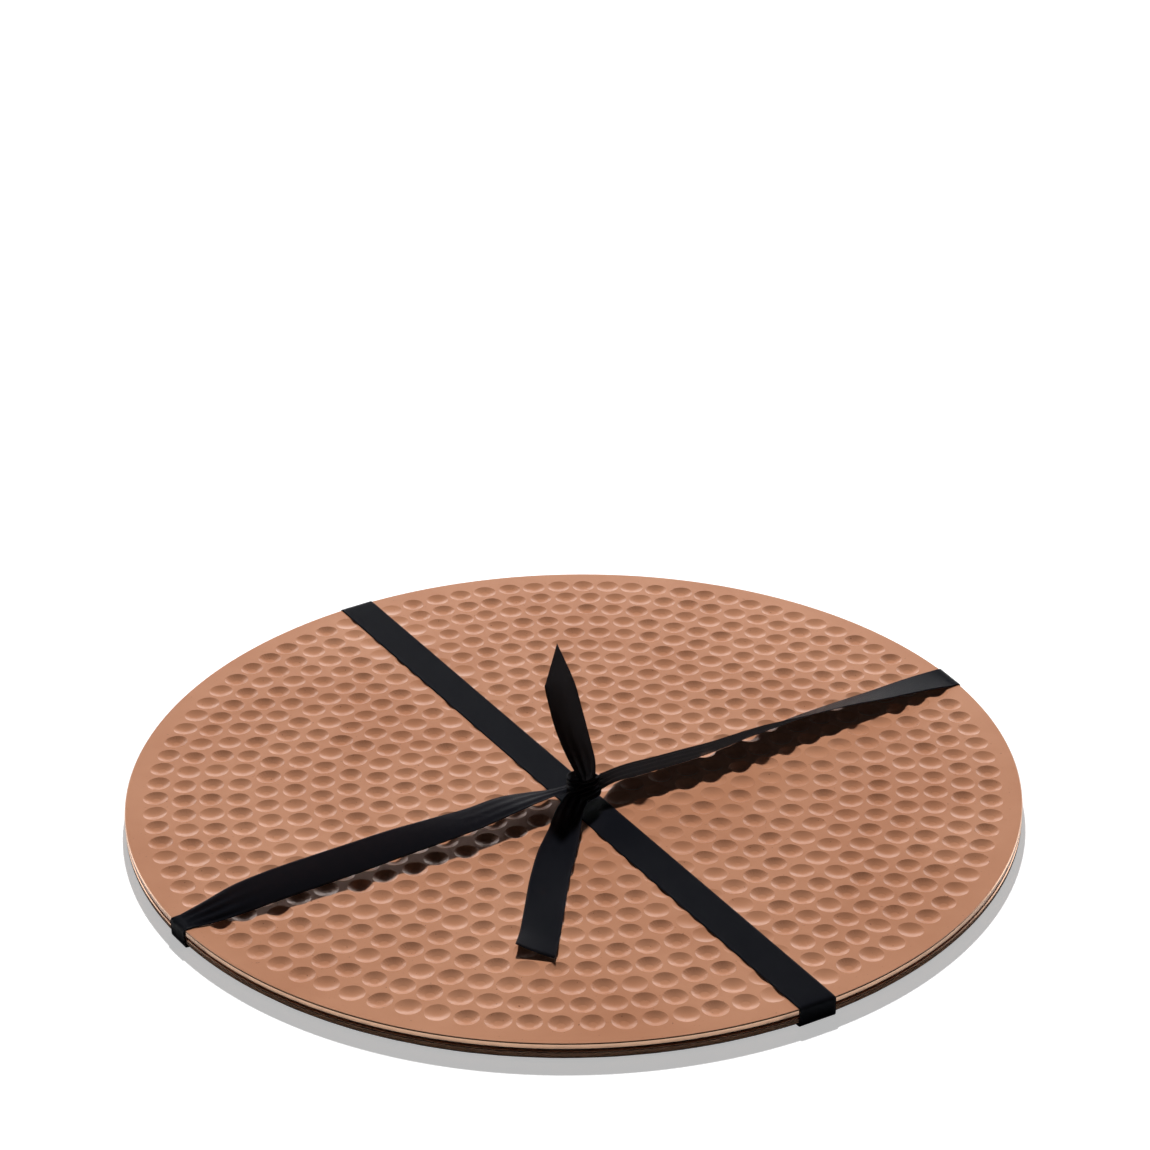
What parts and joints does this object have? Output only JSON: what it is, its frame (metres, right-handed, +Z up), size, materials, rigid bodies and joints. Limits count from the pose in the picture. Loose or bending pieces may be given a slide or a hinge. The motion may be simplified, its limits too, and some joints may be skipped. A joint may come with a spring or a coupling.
{
  "type": "tied hammered copper trays",
  "caption": "Flat round hammered copper trays, each on a thin soft black backing, stacked and tied crosswise with a black satin ribbon knotted on top.",
  "frame": {"origin": "under the middle of the stack, on the surface it stands on", "axes": "+Z up, along the trays' axis; the front tail of the ribbon points to -Y"},
  "size_m": [0.3, 0.3, 0.0586],
  "materials": {
    "copper": "satin hammered copper",
    "backing": "matt black felt",
    "ribbon": "black satin"
  },
  "bodies": {
    "root": {"upper_tray": "copper", "upper_backing": "backing", "lower_tray": "copper", "lower_backing": "backing", "ribbon_band": "ribbon", "ribbon_under_left": "ribbon", "ribbon_under_right": "ribbon", "ribbon_wrap_right": "ribbon", "ribbon_wrap_back": "ribbon", "ribbon_wrap_left": "ribbon", "ribbon_wrap_front": "ribbon", "ribbon_knot": "ribbon", "ribbon_arm_left": "ribbon", "ribbon_arm_right": "ribbon", "ribbon_tail_front": "ribbon", "ribbon_tail_back": "ribbon"}
  },
  "joints": []
}
